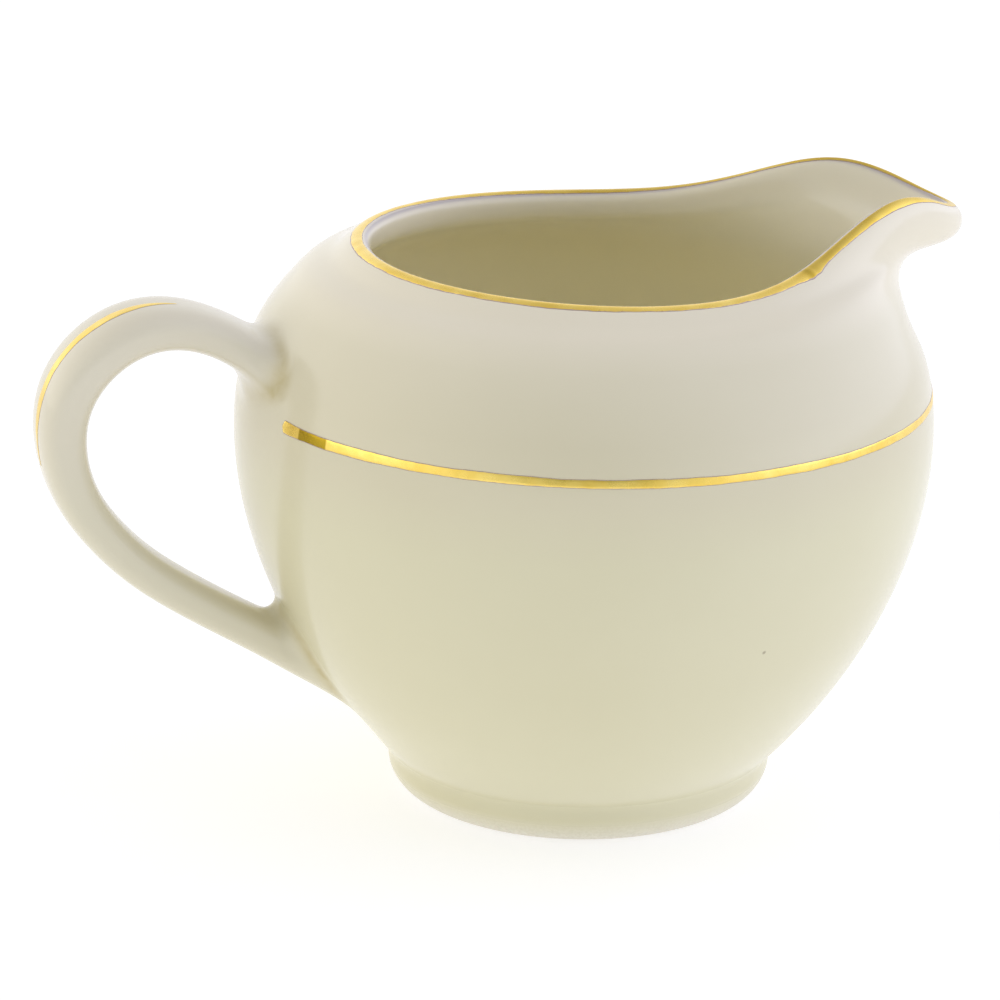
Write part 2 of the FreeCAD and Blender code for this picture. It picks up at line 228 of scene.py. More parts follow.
def drawn_in(angle, height):
    """How far the wall and foot are drawn in below the handle's lower root."""
    behind = np.maximum(0.0, -np.cos(np.radians(angle))) ** 3
    return DENT * behind * np.exp(-((height - DENT_HEIGHT) / DENT_SPREAD) ** 2)


def meridian(angle):
    """The bowl's section at this angle, from under the floor outside, over the lip, to the floor inside."""
    floor = FOOT_HEIGHT + FLOOR
    share = spout_draw(angle) / spout_draw(0.0)
    extra = rim_lift(angle) - share * rim_lift(0.0)
    points = [(radius, FOOT_HEIGHT) for radius in (11.0, 15.0, 19.0, 22.5, 24.6)]
    points.append((float(body_radius(5.4)) + 0.1, 5.4))
    for height in (8, 12, 17, 22, 27, 32, 37, 42, 47, 52, 57, 62):
        points.append((float(body_radius(height) - drawn_in(angle, height)), height))
    for (radius, height), (tip_radius, tip_height), lifted in lip_net():
        points.append((radius + share * (tip_radius - radius),
                       height + share * (tip_height - height) + lifted * extra))
    points += [inner_point(height) for height in (64, 59.5, 55, 50, 45, 40, 35, 30, 25, 20, 15.5)]
    points += [(26.0, floor + 1.6), (22.5, floor + 0.35), (18.5, floor), (14.5, floor), (11.0, floor)]
    return points


def bowl_surface():
    sections = []
    for step in range(BOWL_STEPS):
        angle = 360.0 * step / BOWL_STEPS
        turned = angle - 360.0 if angle > 180.0 else angle
        section = np.array(meridian(turned))
        turn = math.radians(angle)
        sections.append(np.stack([section[:, 0] * math.cos(turn), section[:, 0] * math.sin(turn),
                                  section[:, 1]], axis=1))
    return Net(np.swapaxes(np.array(sections), 0, 1))


BOWL = bowl_surface()


def bowl_angle(u):
    """Degrees from the spout, -180 to 180, for a place round the bowl's net."""
    return (u * 360 / BOWL.around + 180) % 360 - 180


def full_turn(columns):
    """Angles of this many even steps once round, in radians."""
    return 2 * np.pi * np.arange(columns) / columns


def smooth(share):
    """Eases a share from 0 to 1 in and out."""
    return share * share * (3 - 2 * share)


# ---------- the handle's shape ----------

def clamped_basis(count, t):
    """Values at t (0 to 1) of the cubic functions of an evenly knotted curve of this many poles."""
    knots = np.concatenate([np.zeros(3), np.linspace(0, 1, count - 2), np.ones(3)])
    t = np.clip(np.asarray(t, float), 0, 1 - 1e-9)
    basis = [((t >= knots[i]) & (t < knots[i + 1])).astype(float) for i in range(count + 3)]
    for degree in range(1, 4):
        raised = []
        for i in range(count + 3 - degree):
            left = knots[i + degree] - knots[i]
            right = knots[i + degree + 1] - knots[i + 1]
            value = np.zeros_like(t)
            if left > 0:
                value = value + (t - knots[i]) / left * basis[i]
            if right > 0:
                value = value + (knots[i + degree + 1] - t) / right * basis[i + 1]
            raised.append(value)
        basis = raised
    return np.stack(basis, axis=-1)


PATH_POLES = np.array([(-reach, 0.0, height) for reach, height in HANDLE_PATH])


def handle_centre(t):
    return clamped_basis(len(PATH_POLES), t) @ PATH_POLES


def handle_frame(t):
    """Centre, outward direction and sideways direction at t."""
    step = 1e-4
    along = unit(handle_centre(np.asarray(t) + step) - handle_centre(np.asarray(t) - step))
    across = np.broadcast_to(np.array([0.0, 1.0, 0.0]), along.shape)
    return handle_centre(t), np.cross(across, along), across


def hump(t, middle, spread):
    """Smooth swelling that is 1 at its middle and dies away over the spread on each side."""
    return np.exp(-((t - middle) / spread) ** 2)


def handle_depth(t):
    bend = (HANDLE_BEND_DEPTH - HANDLE_ARM_DEPTH) * hump(t, 0.41, 0.20)
    return HANDLE_ARM_DEPTH + bend + HANDLE_ROOT_DEPTH * (hump(t, 0.0, 0.07) + 1.5 * hump(t, 1.0, 0.06))


def handle_breadth(t):
    thumb = (HANDLE_THUMB_BREADTH - HANDLE_ARM_BREADTH) * hump(t, 0.30, 0.24)
    return HANDLE_ARM_BREADTH + thumb + HANDLE_ROOT_BREADTH * hump(t, 0.0, 0.085)


def handle_point(t, turn, proud=0.0):
    """Point on the handle's skin; turn 0 is the outer spine."""
    t, turn = np.broadcast_arrays(np.asarray(t, float), np.asarray(turn, float))
    centre, outward, across = handle_frame(t)
    size = (np.abs(np.cos(turn)) ** SQUARENESS + np.abs(np.sin(turn)) ** SQUARENESS) ** (-1 / SQUARENESS)
    depth = handle_depth(t) / 2 + proud
    breadth = handle_breadth(t) / 2 + proud
    return (centre + outward * (depth * size * np.cos(turn))[..., None]
            + across * (breadth * size * np.sin(turn))[..., None])


WALL_SECTION = BOWL.point(BOWL_STEPS / 2, np.linspace(6, 22, 800))


def wall_radius(height):
    """Radius of the bowl's outer face on the handle side."""
    return np.interp(height, WALL_SECTION[:, 2], -WALL_SECTION[:, 0])


def beyond_wall(points):
    """How far outside the bowl each point near the handle lies, measured level."""
    return np.hypot(points[..., 0], points[..., 1]) - wall_radius(points[..., 2])


def wall_hit(turn, outside, inside, depth=0.0):
    """Where along the handle each line of its skin passes this depth under the wall's surface."""
    far = np.full_like(turn, outside)
    near = np.full_like(turn, inside)
    for _ in range(40):
        middle = (far + near) / 2
        sunk = beyond_wall(handle_point(middle, turn)) < -depth
        near = np.where(sunk, middle, near)
        far = np.where(sunk, far, middle)
    return far


# ---------- meshes ----------

def make_piece(name, points, faces, node, material, marks):
    """A closed mesh from points in millimetres; marks are named values on its points."""
    mesh = bpy.data.meshes.new(name)
    mesh.from_pydata((np.asarray(points).reshape(-1, 3) * MM).tolist(), [], faces)
    mesh.update()
    mesh.shade_smooth()
    for mark, values in marks.items():
        layer = mesh.attributes.new(mark, "FLOAT", "POINT")
        layer.data.foreach_set("value", np.ascontiguousarray(values, np.float32).ravel())
    piece = bpy.data.objects.new(name, mesh)
    bpy.context.scene.collection.objects.link(piece)
    mesh.materials.append(material)
    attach(piece, "root")
    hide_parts(node)


def grid_faces(rows, columns, closed_rows=False, flip=False):
    """Quads over rows of closed rings."""
    faces = []
    last = rows if closed_rows else rows - 1
    for row in range(last):
        below = row * columns
        above = ((row + 1) % rows) * columns
        for column in range(columns):
            beside = (column + 1) % columns
            faces.append((below + column, below + beside, above + beside, above + column))
    if not closed_rows:
        faces.append(tuple(reversed(range(columns))))
        faces.append(tuple(range((rows - 1) * columns, rows * columns)))
    return [tuple(reversed(face)) for face in faces] if flip else faces


def wobble(place, seed):
    """Small smooth unevenness of a hand-painted edge, from -1 to 1, for a place in millimetres."""
    return (0.5 * np.sin(place * 0.31 + seed) + 0.3 * np.sin(place * 0.83 + 2.1 * seed)
            + 0.2 * np.sin(place * 2.3 + 3.7 * seed))


# ---------- materials ----------

class Recipe:
    """Short ways to add nodes to one material."""

    def __init__(self, name):
        self.material = bpy.data.materials.new(name)
        self.material.use_nodes = True
        self.nodes = self.material.node_tree.nodes
        self.links = self.material.node_tree.links
        self.shader = self.nodes["Principled BSDF"]
        self.place = self.nodes.new("ShaderNodeTexCoord").outputs["Object"]

    def noise(self, scale, detail=3.0, distortion=0.0):
        texture = self.nodes.new("ShaderNodeTexNoise")
        texture.inputs["Scale"].default_value = scale
        texture.inputs["Detail"].default_value = detail
        texture.inputs["Distortion"].default_value = distortion
        self.links.new(self.place, texture.inputs["Vector"])
        return texture.outputs["Fac"]

    def spots(self, scale):
        texture = self.nodes.new("ShaderNodeTexVoronoi")
        texture.inputs["Scale"].default_value = scale
        self.links.new(self.place, texture.inputs["Vector"])
        return texture.outputs["Distance"]

    def mark(self, name):
        attribute = self.nodes.new("ShaderNodeAttribute")
        attribute.attribute_name = name
        return attribute.outputs["Fac"]

    def ramp(self, fac, stops):
        node = self.nodes.new("ShaderNodeValToRGB")
        elements = node.color_ramp.elements
        elements.remove(elements[-1])
        for index, (position, colour) in enumerate(stops):
            element = elements[0] if index == 0 else elements.new(position)
            element.position = position
            element.color = (*colour, 1) if isinstance(colour, tuple) else (colour, colour, colour, 1)
        self.links.new(fac, node.inputs["Fac"])
        return node.outputs["Color"]

    def blend(self, fac, first, second):
        """first where fac is 0, second where fac is 1."""
        node = self.nodes.new("ShaderNodeMix")
        node.data_type = "RGBA"
        self.links.new(fac, node.inputs["Factor"])
        for socket, value in ((node.inputs[6], first), (node.inputs[7], second)):
            if isinstance(value, tuple):
                socket.default_value = (*value, 1)
            else:
                self.links.new(value, socket)
        return node.outputs[2]

    def multiply(self, first, second):
        node = self.nodes.new("ShaderNodeMix")
        node.data_type = "RGBA"
        node.blend_type = "MULTIPLY"
        node.inputs["Factor"].default_value = 1.0
        self.links.new(first, node.inputs[6])
        self.links.new(second, node.inputs[7])
        return node.outputs[2]

    def math(self, operation, first, second):
        node = self.nodes.new("ShaderNodeMath")
        node.operation = operation
        for socket, value in zip(node.inputs, (first, second)):
            if isinstance(value, (int, float)):
                socket.default_value = value
            else:
                self.links.new(value, socket)
        return node.outputs["Value"]

    def height(self):
        split = self.nodes.new("ShaderNodeSeparateXYZ")
        self.links.new(self.place, split.inputs["Vector"])
        return split.outputs["Z"]

    def bump(self, height, strength, distance, under=None):
        node = self.nodes.new("ShaderNodeBump")
        node.inputs["Strength"].default_value = strength
        node.inputs["Distance"].default_value = distance
        self.links.new(height, node.inputs["Height"])
        if under is not None:
            self.links.new(under, node.inputs["Normal"])
        return node.outputs["Normal"]

    def put(self, socket, value):
        if isinstance(value, (int, float)):
            self.shader.inputs[socket].default_value = value
        else:
            self.links.new(value, self.shader.inputs[socket])


# Colours are linear. The halo is the shadow of the gold's edge in the glaze.
GLAZE_LIGHT = (0.785, 0.730, 0.585)
GLAZE_DEEP = (0.755, 0.697, 0.543)
# Pooled glaze in creases, with painted shade in it.
GLAZE_POOLED_AND_SHADED = (0.50, 0.42, 0.20)
# The two inside colours are painted light: brighter than the glaze outside, standing in for light that
# falls into the jug.
GLAZE_INSIDE_PAINTED_LIGHT = (0.925, 0.865, 0.61)
GLAZE_UPPER_INSIDE_PAINTED_LIGHT = (0.96, 0.93, 0.80)
GLAZE_HALO = (0.40, 0.35, 0.37)
SPECK = (0.30, 0.25, 0.17)
# The handle's tone, and how far its lower half turns to the body's tone, which changes with height, partly
# the glaze's own and partly painted light and shade.
HANDLE_TONE = (0.915, 0.92, 0.925)
LOW_HANDLE_TONE = 0.35
BODY_TONE_AND_LIGHT = [
    (0.003, (0.85, 0.86, 0.735)), (0.007, (0.90, 0.92, 0.82)), (0.013, (0.90, 0.92, 0.81)),
    (0.028, (0.875, 0.89, 0.775)), (0.048, (0.875, 0.895, 0.79)), (0.056, (0.85, 0.85, 0.775)),
    (0.063, (0.85, 0.85, 0.785)), (0.070, (0.91, 0.915, 0.87)), (0.074, (1.0, 1.0, 1.0)),
]


def porcelain(name, bare_foot=False):
    """Glazed porcelain. The marks say where each tone goes: wall the body's tone with painted light and
    shade, inside and upper inside painted light, halo painted shadow, and the crease mark pooled glaze with
    painted shade.
    """
    recipe = Recipe(name)
    cream = recipe.ramp(recipe.noise(24.0, 4.0), [(0.3, GLAZE_DEEP), (0.7, GLAZE_LIGHT)])
    # The body's tone by height carries painted light and shade: lightest near the rim, darker at the
    # shoulder and the very bottom.
    tone = recipe.blend(recipe.mark("wall"), HANDLE_TONE, recipe.ramp(recipe.height(), BODY_TONE_AND_LIGHT))
    cream = recipe.multiply(cream, tone)
    shadowed = recipe.blend(recipe.mark("halo"), cream, GLAZE_HALO)
    # Painted light inside the lip: lighter on the upper inside wall, and again deeper in.
    lighter = recipe.blend(recipe.mark("painted_light_upper_inside"), shadowed, GLAZE_UPPER_INSIDE_PAINTED_LIGHT)
    deeper = recipe.blend(recipe.mark("inside"), lighter, GLAZE_INSIDE_PAINTED_LIGHT)
    uneven = recipe.ramp(recipe.noise(420.0, 2.0, 0.6), [(0.25, 0.55), (0.7, 1.0)])
    # Pooled glaze in creases, darkened further as painted shade.
    pooled_and_shaded = recipe.blend(recipe.math("MULTIPLY", recipe.mark("pool_and_shade"), uneven), deeper, GLAZE_POOLED_AND_SHADED)
    pinholes = recipe.ramp(recipe.spots(85.0), [(0.0, 1.0), (0.022, 1.0), (0.035, 0.0)])
    sparse = recipe.ramp(recipe.noise(31.0, 1.0), [(0.60, 0.0), (0.64, 0.7)])
    speckled = recipe.blend(recipe.math("MULTIPLY", pinholes, sparse), pooled_and_shaded, SPECK)
    gloss = recipe.ramp(recipe.noise(55.0, 3.0), [(0.3, 0.15), (0.7, 0.21)])
    if bare_foot:
        bare = recipe.ramp(recipe.height(), [(0.00012, 1.0), (0.00022, 0.0)])
        grain = recipe.noise(2600.0, 2.0)
        grit = recipe.ramp(grain, [(0.3, (0.70, 0.66, 0.58)), (0.7, (0.82, 0.79, 0.72))])
        speckled = recipe.blend(bare, speckled, grit)
        gloss = recipe.blend(bare, gloss, (0.75, 0.75, 0.75))
    recipe.put("Base Color", speckled)
    recipe.put("Roughness", gloss)
    recipe.put("IOR", 1.5)
    ripple = recipe.bump(recipe.noise(38.0, 2.0), 0.35, 0.0002)
    recipe.put("Normal", recipe.bump(recipe.noise(700.0, 2.0), 0.05, 0.00003, ripple))
    return recipe.material


def gilding():
    """Burnished gold: mark edge is 1 at its painted edges. The lap mark darkens the gold where one stroke
    lies over another, and on the rim line it is also painted shade, from beside the spout round the far
    side.
    """
    recipe = Recipe("gilding")
    bright = recipe.ramp(recipe.noise(260.0, 3.0), [(0.3, (0.84, 0.59, 0.11)), (0.7, (0.96, 0.73, 0.20))])
    lapped_and_shaded = recipe.blend(recipe.mark("lap_and_shade"), bright, (0.42, 0.29, 0.02))
    grain = recipe.math("MULTIPLY", recipe.noise(900.0, 2.0), 0.2)
    ragged = recipe.math("ADD", recipe.mark("edge"), grain)
    rim = recipe.ramp(ragged, [(0.97, 0.0), (1.06, 1.0)])
    recipe.put("Base Color", recipe.blend(rim, lapped_and_shaded, (0.44, 0.33, 0.30)))
    recipe.put("Metallic", recipe.ramp(ragged, [(0.97, 1.0), (1.08, 0.2)]))
    recipe.put("Roughness", recipe.ramp(recipe.noise(500.0, 3.0), [(0.3, 0.20), (0.7, 0.34)]))
    recipe.put("Normal", recipe.bump(recipe.noise(800.0, 2.0), 0.25, 0.00004))
    return recipe.material


PORCELAIN = porcelain("glazed_porcelain")
FOOT_PORCELAIN = porcelain("foot_porcelain", True)
GOLD = gilding()


# ---------- the pieces ----------

def make_bowl():
    u = np.arange(BOWL_COLUMNS) * BOWL.around / BOWL_COLUMNS
    v = np.linspace(0, BOWL.rows - 1, BOWL_ROW_STEPS * (BOWL.rows - 1) + 1)
    points = BOWL.point(u[None, :], v[:, None])
    rows = v[:, None] - CREST_ROW
    angle = bowl_angle(u)
    # Painted light inside the lip, deeper in and on the upper inside wall away from the spout; the halo is
    # painted shadow beside the gold.
    deep = np.clip((rows - INSIDE_START - INSIDE_SPOUT * hump(angle, 15.0, 50.0)) / INSIDE_FADE, 0, 1)
    upper = np.clip((rows - UPPER_INSIDE_START) / UPPER_INSIDE_FADE, 0, 1)
    upper = upper * (1 - 0.8 * hump(angle, 0.0, 28.0))
    halo = 0.85 * hump(rows, HALO_ROW, HALO_SPREAD) * np.ones(BOWL_COLUMNS)
    marks = {"inside": smooth(deep), "painted_light_upper_inside": smooth(upper), "halo": halo,
             "wall": np.ones(deep.shape)}
    faces = grid_faces(len(v), BOWL_COLUMNS)
    make_piece("jug_bowl", points, faces, "bowl", PORCELAIN, marks)


def arc(centre, radius, start, end, steps):
    """Points of a round corner, in degrees; 0 points outwards and 90 up."""
    angles = np.radians(np.linspace(start, end, steps + 1))
    return [(centre[0] + radius * math.cos(a), centre[1] + radius * math.sin(a)) for a in angles]


def foot_profile():
    """Section of the foot ring with its glaze fillet, from the body outside round to its seat inside."""
    top_rows = ((2.2, -0.3), (1.7, -0.04), (0.9, -0.008), (0.0, FILLET_PROUD))
    points = [(float(body_radius(FILLET_TOP + above)) + proud, FILLET_TOP + above)
              for above, proud in top_rows]
    lean = math.degrees(math.atan(float(body_slope(FILLET_TOP))))
    start = points[-1]
    turn = math.radians(lean)
    centre = (start[0] + FILLET_RADIUS * math.cos(turn), start[1] - FILLET_RADIUS * math.sin(turn))
    points += arc(centre, FILLET_RADIUS, 180 - lean, 180, 8)[1:]
    face = points[-1][0]
    points += arc((face - FOOT_ROUND, FOOT_ROUND), FOOT_ROUND, 0, -90, 18)
    points += arc((FOOT_INNER + SEAT_ROUND, SEAT_ROUND), SEAT_ROUND, -90, -180, 8)
    corner = FOOT_HEIGHT - RECESS_ROUND
    points += [(FOOT_INNER, 3.0), (FOOT_INNER, corner)]
    points += arc((FOOT_INNER - RECESS_ROUND, corner), RECESS_ROUND, 0, 90, 4)[1:]
    points += [(FOOT_INNER - 1.0, FOOT_HEIGHT + 0.3), (FOOT_INNER + 1.0, FOOT_HEIGHT + 0.6)]
    points.append((face - 3.0, FOOT_HEIGHT + 0.9))
    return points


def make_foot_ring():
    turns = full_turn(BOWL_COLUMNS)
    profile = np.array(foot_profile())
    heights = np.repeat(profile[:, 1:], BOWL_COLUMNS, axis=1)
    radii = profile[:, :1] - drawn_in(np.degrees(turns), heights)
    points = np.stack([radii * np.cos(turns), radii * np.sin(turns), heights], axis=-1)
    make_piece("jug_foot_ring", points, grid_faces(len(profile), BOWL_COLUMNS, True, True), "foot_ring",
               FOOT_PORCELAIN, {"wall": np.ones(points.shape[:2])})


def make_handle():
    turns = full_turn(HANDLE_COLUMNS)
    start = wall_hit(turns, *UPPER_ROOT, HANDLE_SUNK)
    end = wall_hit(turns, *LOWER_ROOT, HANDLE_SUNK)
    share = np.linspace(0, 1, HANDLE_ROWS)[:, None]
    points = handle_point(start + share * (end - start), turns)
    low = LOW_HANDLE_TONE * np.clip((share - 0.35) / 0.25, 0, 1) * np.ones(HANDLE_COLUMNS)
    faces = grid_faces(HANDLE_ROWS, HANDLE_COLUMNS, False, True)
    make_piece("jug_handle", points, faces, "handle", PORCELAIN, {"wall": low})


def wall_normal(points):
    radius = np.hypot(points[..., 0], points[..., 1])
    slope = body_slope(points[..., 2])
    return unit(np.stack([points[..., 0] / radius, points[..., 1] / radius, -slope], axis=-1))


def onto_wall(points, proud):
    """The points moved level to this far outside the bowl's wall, on the handle side."""
    stretch = (wall_radius(points[..., 2]) + proud) / np.hypot(points[..., 0], points[..., 1])
    return np.stack([points[..., 0] * stretch, points[..., 1] * stretch, points[..., 2]], axis=-1)


def level_part(vectors, normals):
    """The part of each vector that lies in the surface with this normal."""
    return unit(vectors - normals * np.sum(vectors * normals, axis=-1, keepdims=True))


def reach(outer, side, inner):
    """How far a fillet spreads on the handle's outer, near and far, and inner sides."""
    def spread(turns):
        facing = np.cos(turns)
        outwards = np.clip(facing, 0, 1) ** 2
        inwards = np.clip(-facing, 0, 1) ** 2
        return side + (outer - side) * outwards + (inner - side) * inwards

    return spread


def fillet_poles(on_handle, crease, on_wall, along):
    """The two middle poles of a rounded curve from the handle to the wall, one curve for each turn."""
    back = level_part(crease - on_wall, wall_normal(on_wall))
    to_handle = np.linalg.norm(crease - on_handle, axis=1, keepdims=True)
    to_wall = np.linalg.norm(crease - on_wall, axis=1, keepdims=True)
    bend = np.arccos(np.clip(-np.sum(along * back, axis=1, keepdims=True), -0.99, 0.99))
    roundness = 4 / 3 * np.tan(bend / 4) / np.tan(bend / 2)
    return on_handle + along * to_handle * roundness, on_wall + back * to_wall * roundness


def pool_and_shade_share(turns):
    """Glaze gathers in the creases, with painted shade: most at the sides, a third of that at the outer and
    inner sides.
    """
    return 0.35 + 0.65 * np.abs(np.sin(turns)) ** 1.5


def make_joint(name, node, root, handle_tone, handle_reach, wall_reach):
    """Fillet of clay and glaze where the handle meets the wall, its borders tucked under both skins."""
    turns = full_turn(HANDLE_COLUMNS)
    towards = 1 if root[1] > root[0] else -1
    hit = wall_hit(turns, *root)
    crease = handle_point(hit, turns)
    out = hit - towards * handle_reach(turns) / HANDLE_LENGTH
    on_handle = handle_point(out, turns, 0.006)
    along = unit(handle_point(out + towards * 0.002, turns) - handle_point(out, turns))
    away = level_part(crease - handle_centre(hit), wall_normal(crease))
    on_wall = onto_wall(crease + away * wall_reach(turns)[:, None], 0.01)
    first, second = fillet_poles(on_handle, crease, on_wall, along)
    # Rows just under the handle's skin, the rounded fillet, rows just under the wall, then the hidden back.
    rows = [handle_point(out - towards * 0.018, turns, -0.02),
            handle_point(out - towards * 0.009, turns, -0.006)]
    # Pooled glaze and painted shade in the crease, strongest past the fillet's middle towards the wall.
    pool_and_shade = [np.zeros(HANDLE_COLUMNS)] * 2
    wall = [handle_tone] * 2
    for step in range(JOINT_STEPS + 1):
        s = 0.5 - 0.5 * math.cos(math.pi * step / JOINT_STEPS)
        rows.append((1 - s) ** 3 * on_handle + 3 * s * (1 - s) ** 2 * first
                    + 3 * s * s * (1 - s) * second + s ** 3 * on_wall)
        pool_and_shade.append(math.sin(math.pi * s) * hump(s, 0.68, 0.24) * pool_and_shade_share(turns))
        wall.append(handle_tone + (1 - handle_tone) * smooth(s))
    rows += [onto_wall(on_wall + away * 0.9, -0.006), onto_wall(on_wall + away * 1.8, -0.03)]
    rows += [onto_wall(on_wall, -JOINT_SUNK), handle_point(hit + towards * 0.004, turns, -JOINT_SUNK)]
    rows.append(handle_point(out, turns, -JOINT_SUNK))
    pool_and_shade += [np.zeros(HANDLE_COLUMNS)] * 5
    wall += [1.0] * 5
    faces = grid_faces(len(rows), HANDLE_COLUMNS, True, towards > 0)
    marks = {"pool_and_shade": np.array(pool_and_shade), "wall": np.repeat(wall, HANDLE_COLUMNS)}
    make_piece(name, np.array(rows), faces, node, PORCELAIN, marks)


def make_ribbon(name, node, skin, stations, closed, lap_and_shade):
    """Gold laid on a surface. skin(station, across, proud) gives points, across running -1 to 1."""
    across = np.linspace(-1, 1, 13)
    thickness = GILDING * (1 - np.abs(across) ** 6) + 0.004
    top = [skin(stations, a, proud) for a, proud in zip(across, thickness)]
    under = [skin(stations, a, -GILDING_SUNK) for a in (0.9, 0.0, -0.9)]
    loops = np.swapaxes(np.array(top + under), 0, 1)
    count = loops.shape[1]
    edge = np.tile(np.concatenate([np.abs(across), [1.0, 1.0, 1.0]]), len(stations))
    faces = grid_faces(len(stations), count, closed)
    make_piece(name, loops, faces, node, GOLD, {"edge": edge, "lap_and_shade": np.repeat(lap_and_shade, count)})


def lip_limit(u, direction, width):
    """Row at this distance over the lip from its crest."""
    crest = float(CREST_ROW)
    start = BOWL.point(u, crest)
    near, far = np.zeros_like(u), np.full_like(u, 4.0)
    for _ in range(30):
        middle = (near + far) / 2
        short = np.linalg.norm(BOWL.point(u, crest + direction * middle) - start, axis=-1) < width
        near = np.where(short, middle, near)
        far = np.where(short, far, middle)
    return crest + direction * near


def between(place, start, end):
    """1 from start to end in millimetres, 0 outside, with short soft steps."""
    return np.clip((place - start) / 0.12, 0, 1) * np.clip((end - place) / 0.12, 0, 1)


def make_rim_line():
    stations = np.arange(LINE_STATIONS) * BOWL.around / LINE_STATIONS
    angle = bowl_angle(stations)
    place = np.radians(angle) * MOUTH_RADIUS
    # Outer edge: spilled at one place, narrow at and beside the spout's tip, steady where its ends meet.
    spill = SPILL * hump(angle, -SPILL_PLACE, 4.2) * (1 + 0.12 * np.sin(place * 4.0))
    narrow = 0.75 * hump(angle, 0.0, 14.0)
    narrow = narrow + 0.5 * hump(angle, -30.0, 9.0) + 0.25 * hump(angle, -40.0, 7.0)
    joined = 1 - hump(np.abs(angle), 180.0, 4.0)
    wavy = 0.08 * joined * wobble(place, 1.0)
    outside = lip_limit(stations, -1, RIM_LINE_OUTSIDE + wavy + spill - narrow)
    # Inner edge: furthest over the lip beside the spout, least behind.
    uneven = 0.62 + 0.5 * np.sin(np.radians(angle + 25.0)) + 0.7 * hump(angle, 20.0, 16.0)
    uneven = np.maximum(uneven - 0.4 * hump(angle, 140.0, 35.0), 0.6 * hump(angle, -90.0, 75.0))
    inside = lip_limit(stations, 1, RIM_LINE_INSIDE * uneven + 0.04 * joined * wobble(place, 2.0))

    def skin(u, across, proud):
        v = (outside + inside) / 2 + across * (inside - outside) / 2
        return BOWL.point(u, v) + BOWL.normal(u, v) * proud

    # Painted shade on the gold from beside the spout round the far side, and a darker lap of gold at the
    # spill.
    lap_and_shade = 0.45 * np.clip((angle + SPILL_PLACE) / 1.5, 0, 1) * np.clip((130.0 - angle) / 60.0, 0, 1)
    lap_and_shade = np.maximum(lap_and_shade, 0.7 * hump(angle, -SPILL_PLACE - 0.5, 1.2))
    make_ribbon("jug_rim_gold_line", "rim_gold_line", skin, stations, True, lap_and_shade)


def make_belly_line():
    gap = BELLY_LINE_GAP
    degrees = np.linspace(180 + gap, 540 - gap, LINE_STATIONS)
    stations = np.radians(degrees)
    girth = float(body_radius(BELLY_LINE_HEIGHT))
    place = (degrees - degrees[0]) * math.pi / 180 * girth
    to_end = np.minimum(place, place[-1] - place)
    blunt = np.sqrt(np.clip(1 - (1 - np.clip(to_end / 0.6, 0, 1)) ** 2, 0.02, 1))
    loaded = BELLY_LINE_LOADED * np.exp(-place / BELLY_LINE_SPENT)
    half = blunt * (BELLY_LINE_WIDTH / 2 + loaded + 0.05 * wobble(place, 3.0))
    middle = BELLY_LINE_HEIGHT - BELLY_LINE_TILT * np.cos(stations) + 0.06 * wobble(place * 0.4, 4.0)

    def skin(turn, across, proud):
        level = middle + across * half * 0.99
        points = np.stack([np.cos(turn), np.sin(turn), level], axis=-1)
        points[:, :2] *= body_radius(level)[:, None]
        return points + wall_normal(points) * proud

    lap_and_shade = between(place, 4.0, 9.8)
    make_ribbon("jug_belly_gold_line", "belly_gold_line", skin, stations, False, lap_and_shade)


def make_handle_line():
    stations = np.linspace(HANDLE_LINE_START, HANDLE_LINE_END, 240)
    share = (stations - HANDLE_LINE_START) / (HANDLE_LINE_END - HANDLE_LINE_START)
    place = share * (HANDLE_LINE_END - HANDLE_LINE_START) * HANDLE_LENGTH
    taper = np.clip(np.minimum(share / 0.24, (1 - share) / 0.30), 0, 1)
    half = (0.03 + taper ** 0.7 * (1 + 0.10 * wobble(place, 5.0))) * HANDLE_LINE_WIDTH / 2
    drift = HANDLE_LINE_OFFSET + 0.12 * wobble(place * 0.5, 6.0)

    def skin(t, across, proud):
        side = drift + across * half
        return handle_point(t, side / (handle_breadth(t) / 2), proud)

    lap_and_shade = np.zeros(len(stations))
    make_ribbon("jug_handle_gold_line", "handle_gold_line", skin, stations, False, lap_and_shade)


make_bowl()
make_foot_ring()
make_handle()
make_joint("jug_upper_joint", "upper_handle_joint", UPPER_ROOT, 0.0,
           reach(3.2, 3.6, 5.5), reach(2.8, 4.8, 4.8))
make_joint("jug_lower_joint", "lower_handle_joint", LOWER_ROOT, LOW_HANDLE_TONE,
           reach(3.4, 3.4, 4.4), reach(3.4, 3.2, 4.4))
make_rim_line()
make_belly_line()
make_handle_line()


# ---------- stage, light and camera ----------

def make_stage():
    mesh = bpy.data.meshes.new("floor")
    count = 96
    ring = [(FLOOR_RADIUS * math.cos(turn), FLOOR_RADIUS * math.sin(turn), -FLOOR_DROP)
            for turn in full_turn(count)]
    mesh.from_pydata(ring, [], [tuple(range(count))])
    floor = bpy.data.objects.new("floor", mesh)
    bpy.context.scene.collection.objects.link(floor)
    recipe = Recipe("pale_floor")
    recipe.put("Base Color", recipe.ramp(recipe.noise(40.0), [(0.3, 0.60), (0.7, 0.61)]))
    recipe.put("Roughness", 0.9)
    recipe.put("Specular IOR Level", 0.0)
    recipe.shader.inputs["Emission Color"].default_value = (1, 1, 1, 1)
    recipe.put("Emission Strength", 0.52)
    mesh.materials.append(recipe.material)


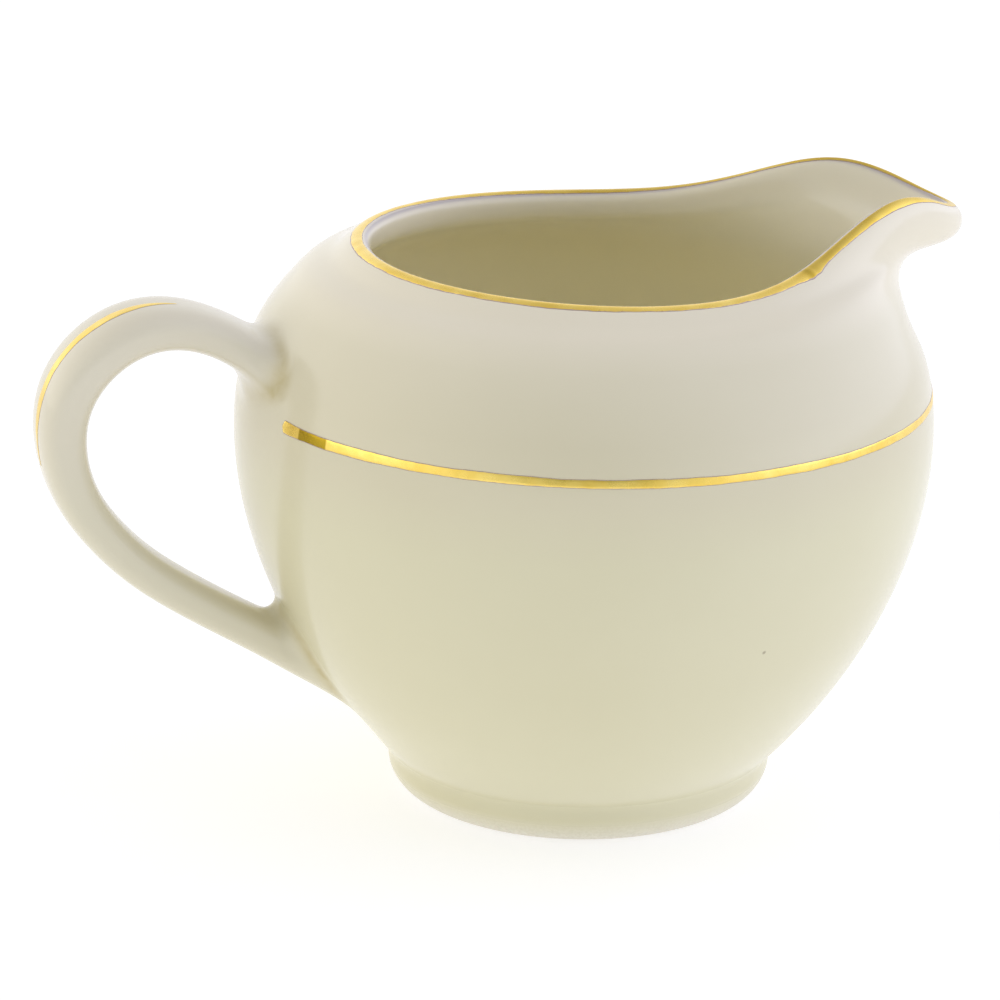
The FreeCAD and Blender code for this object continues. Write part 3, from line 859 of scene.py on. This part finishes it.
def tent_walls():
    """Where the light comes from: direction, how narrow, and colour. Right and left are the camera's."""
    turn = math.radians(CAMERA_AZIMUTH)
    right = (math.cos(turn), -math.sin(turn), 0.0)
    behind = (math.sin(turn), math.cos(turn), 0.0)
    up = (0.0, 0.0, 1.0)
    return (
        (right, 2, (1.9, 1.95, 2.35)),
        (tuple(-x for x in right), 2, (1.85, 1.8, 1.7)),
        (behind, 2, (1.1, 1.1, 1.1)),
        (tuple(-x for x in behind), 2, (0.42, 0.46, 0.44)),
        (up, 2, (0.4, 0.39, 0.4)),
        (up, 8, (0.3, 0.3, 0.36)),
    )


def tent_wall(nodes, links, direction, towards, narrowness, colour):
    """Light of this colour that falls off away from one direction."""
    facing = nodes.new("ShaderNodeVectorMath")
    facing.operation = "DOT_PRODUCT"
    links.new(direction, facing.inputs[0])
    facing.inputs[1].default_value = towards
    ahead = nodes.new("ShaderNodeMath")
    ahead.operation = "MAXIMUM"
    ahead.inputs[1].default_value = 0.0
    links.new(facing.outputs["Value"], ahead.inputs[0])
    falling = nodes.new("ShaderNodeMath")
    falling.operation = "POWER"
    falling.inputs[1].default_value = narrowness
    links.new(ahead.outputs["Value"], falling.inputs[0])
    wall = nodes.new("ShaderNodeVectorMath")
    wall.operation = "SCALE"
    wall.inputs[0].default_value = colour
    links.new(falling.outputs["Value"], wall.inputs["Scale"])
    return wall.outputs["Vector"]


def make_lights():
    """A light tent: bright walls at the sides, softer behind and above, darkest towards the camera.

    The camera itself sees a white backdrop.
    """
    world = bpy.data.worlds.new("light_tent")
    world.use_nodes = True
    bpy.context.scene.world = world
    nodes, links = world.node_tree.nodes, world.node_tree.links
    direction = nodes.new("ShaderNodeTexCoord").outputs["Generated"]
    walls = [tent_wall(nodes, links, direction, *wall) for wall in tent_walls()]
    total = walls[0]
    for wall in walls[1:]:
        both = nodes.new("ShaderNodeVectorMath")
        both.operation = "ADD"
        links.new(total, both.inputs[0])
        links.new(wall, both.inputs[1])
        total = both.outputs["Vector"]
    background = nodes["Background"]
    links.new(total, background.inputs["Color"])
    backdrop = nodes.new("ShaderNodeBackground")
    backdrop.inputs["Color"].default_value = (1, 1, 1, 1)
    seen = nodes.new("ShaderNodeMixShader")
    links.new(nodes.new("ShaderNodeLightPath").outputs["Is Camera Ray"], seen.inputs["Fac"])
    links.new(background.outputs["Background"], seen.inputs[1])
    links.new(backdrop.outputs["Background"], seen.inputs[2])
    links.new(seen.outputs["Shader"], nodes["World Output"].inputs["Surface"])


def make_camera():
    azimuth, elevation, roll = (math.radians(a) for a in (CAMERA_AZIMUTH, CAMERA_ELEVATION, CAMERA_ROLL))
    right = Vector((math.cos(azimuth), -math.sin(azimuth), 0))
    back = Vector((-math.sin(azimuth) * math.cos(elevation), -math.cos(azimuth) * math.cos(elevation),
                   math.sin(elevation)))
    up = back.cross(right)
    side = right * math.cos(roll) + up * math.sin(roll)
    top = up * math.cos(roll) - right * math.sin(roll)
    data = bpy.data.cameras.new("camera")
    data.sensor_width = CAMERA_SENSOR
    data.lens = CAMERA_LENS
    camera = bpy.data.objects.new("camera", data)
    bpy.context.scene.collection.objects.link(camera)
    place = Vector(CAMERA_TARGET) + back * CAMERA_DISTANCE
    camera.matrix_world = Matrix(((side.x, top.x, back.x, place.x), (side.y, top.y, back.y, place.y),
                                  (side.z, top.z, back.z, place.z), (0, 0, 0, 1)))
    bpy.context.scene.camera = camera


make_stage()
make_lights()
make_camera()
bpy.context.scene.view_settings.view_transform = "Standard"
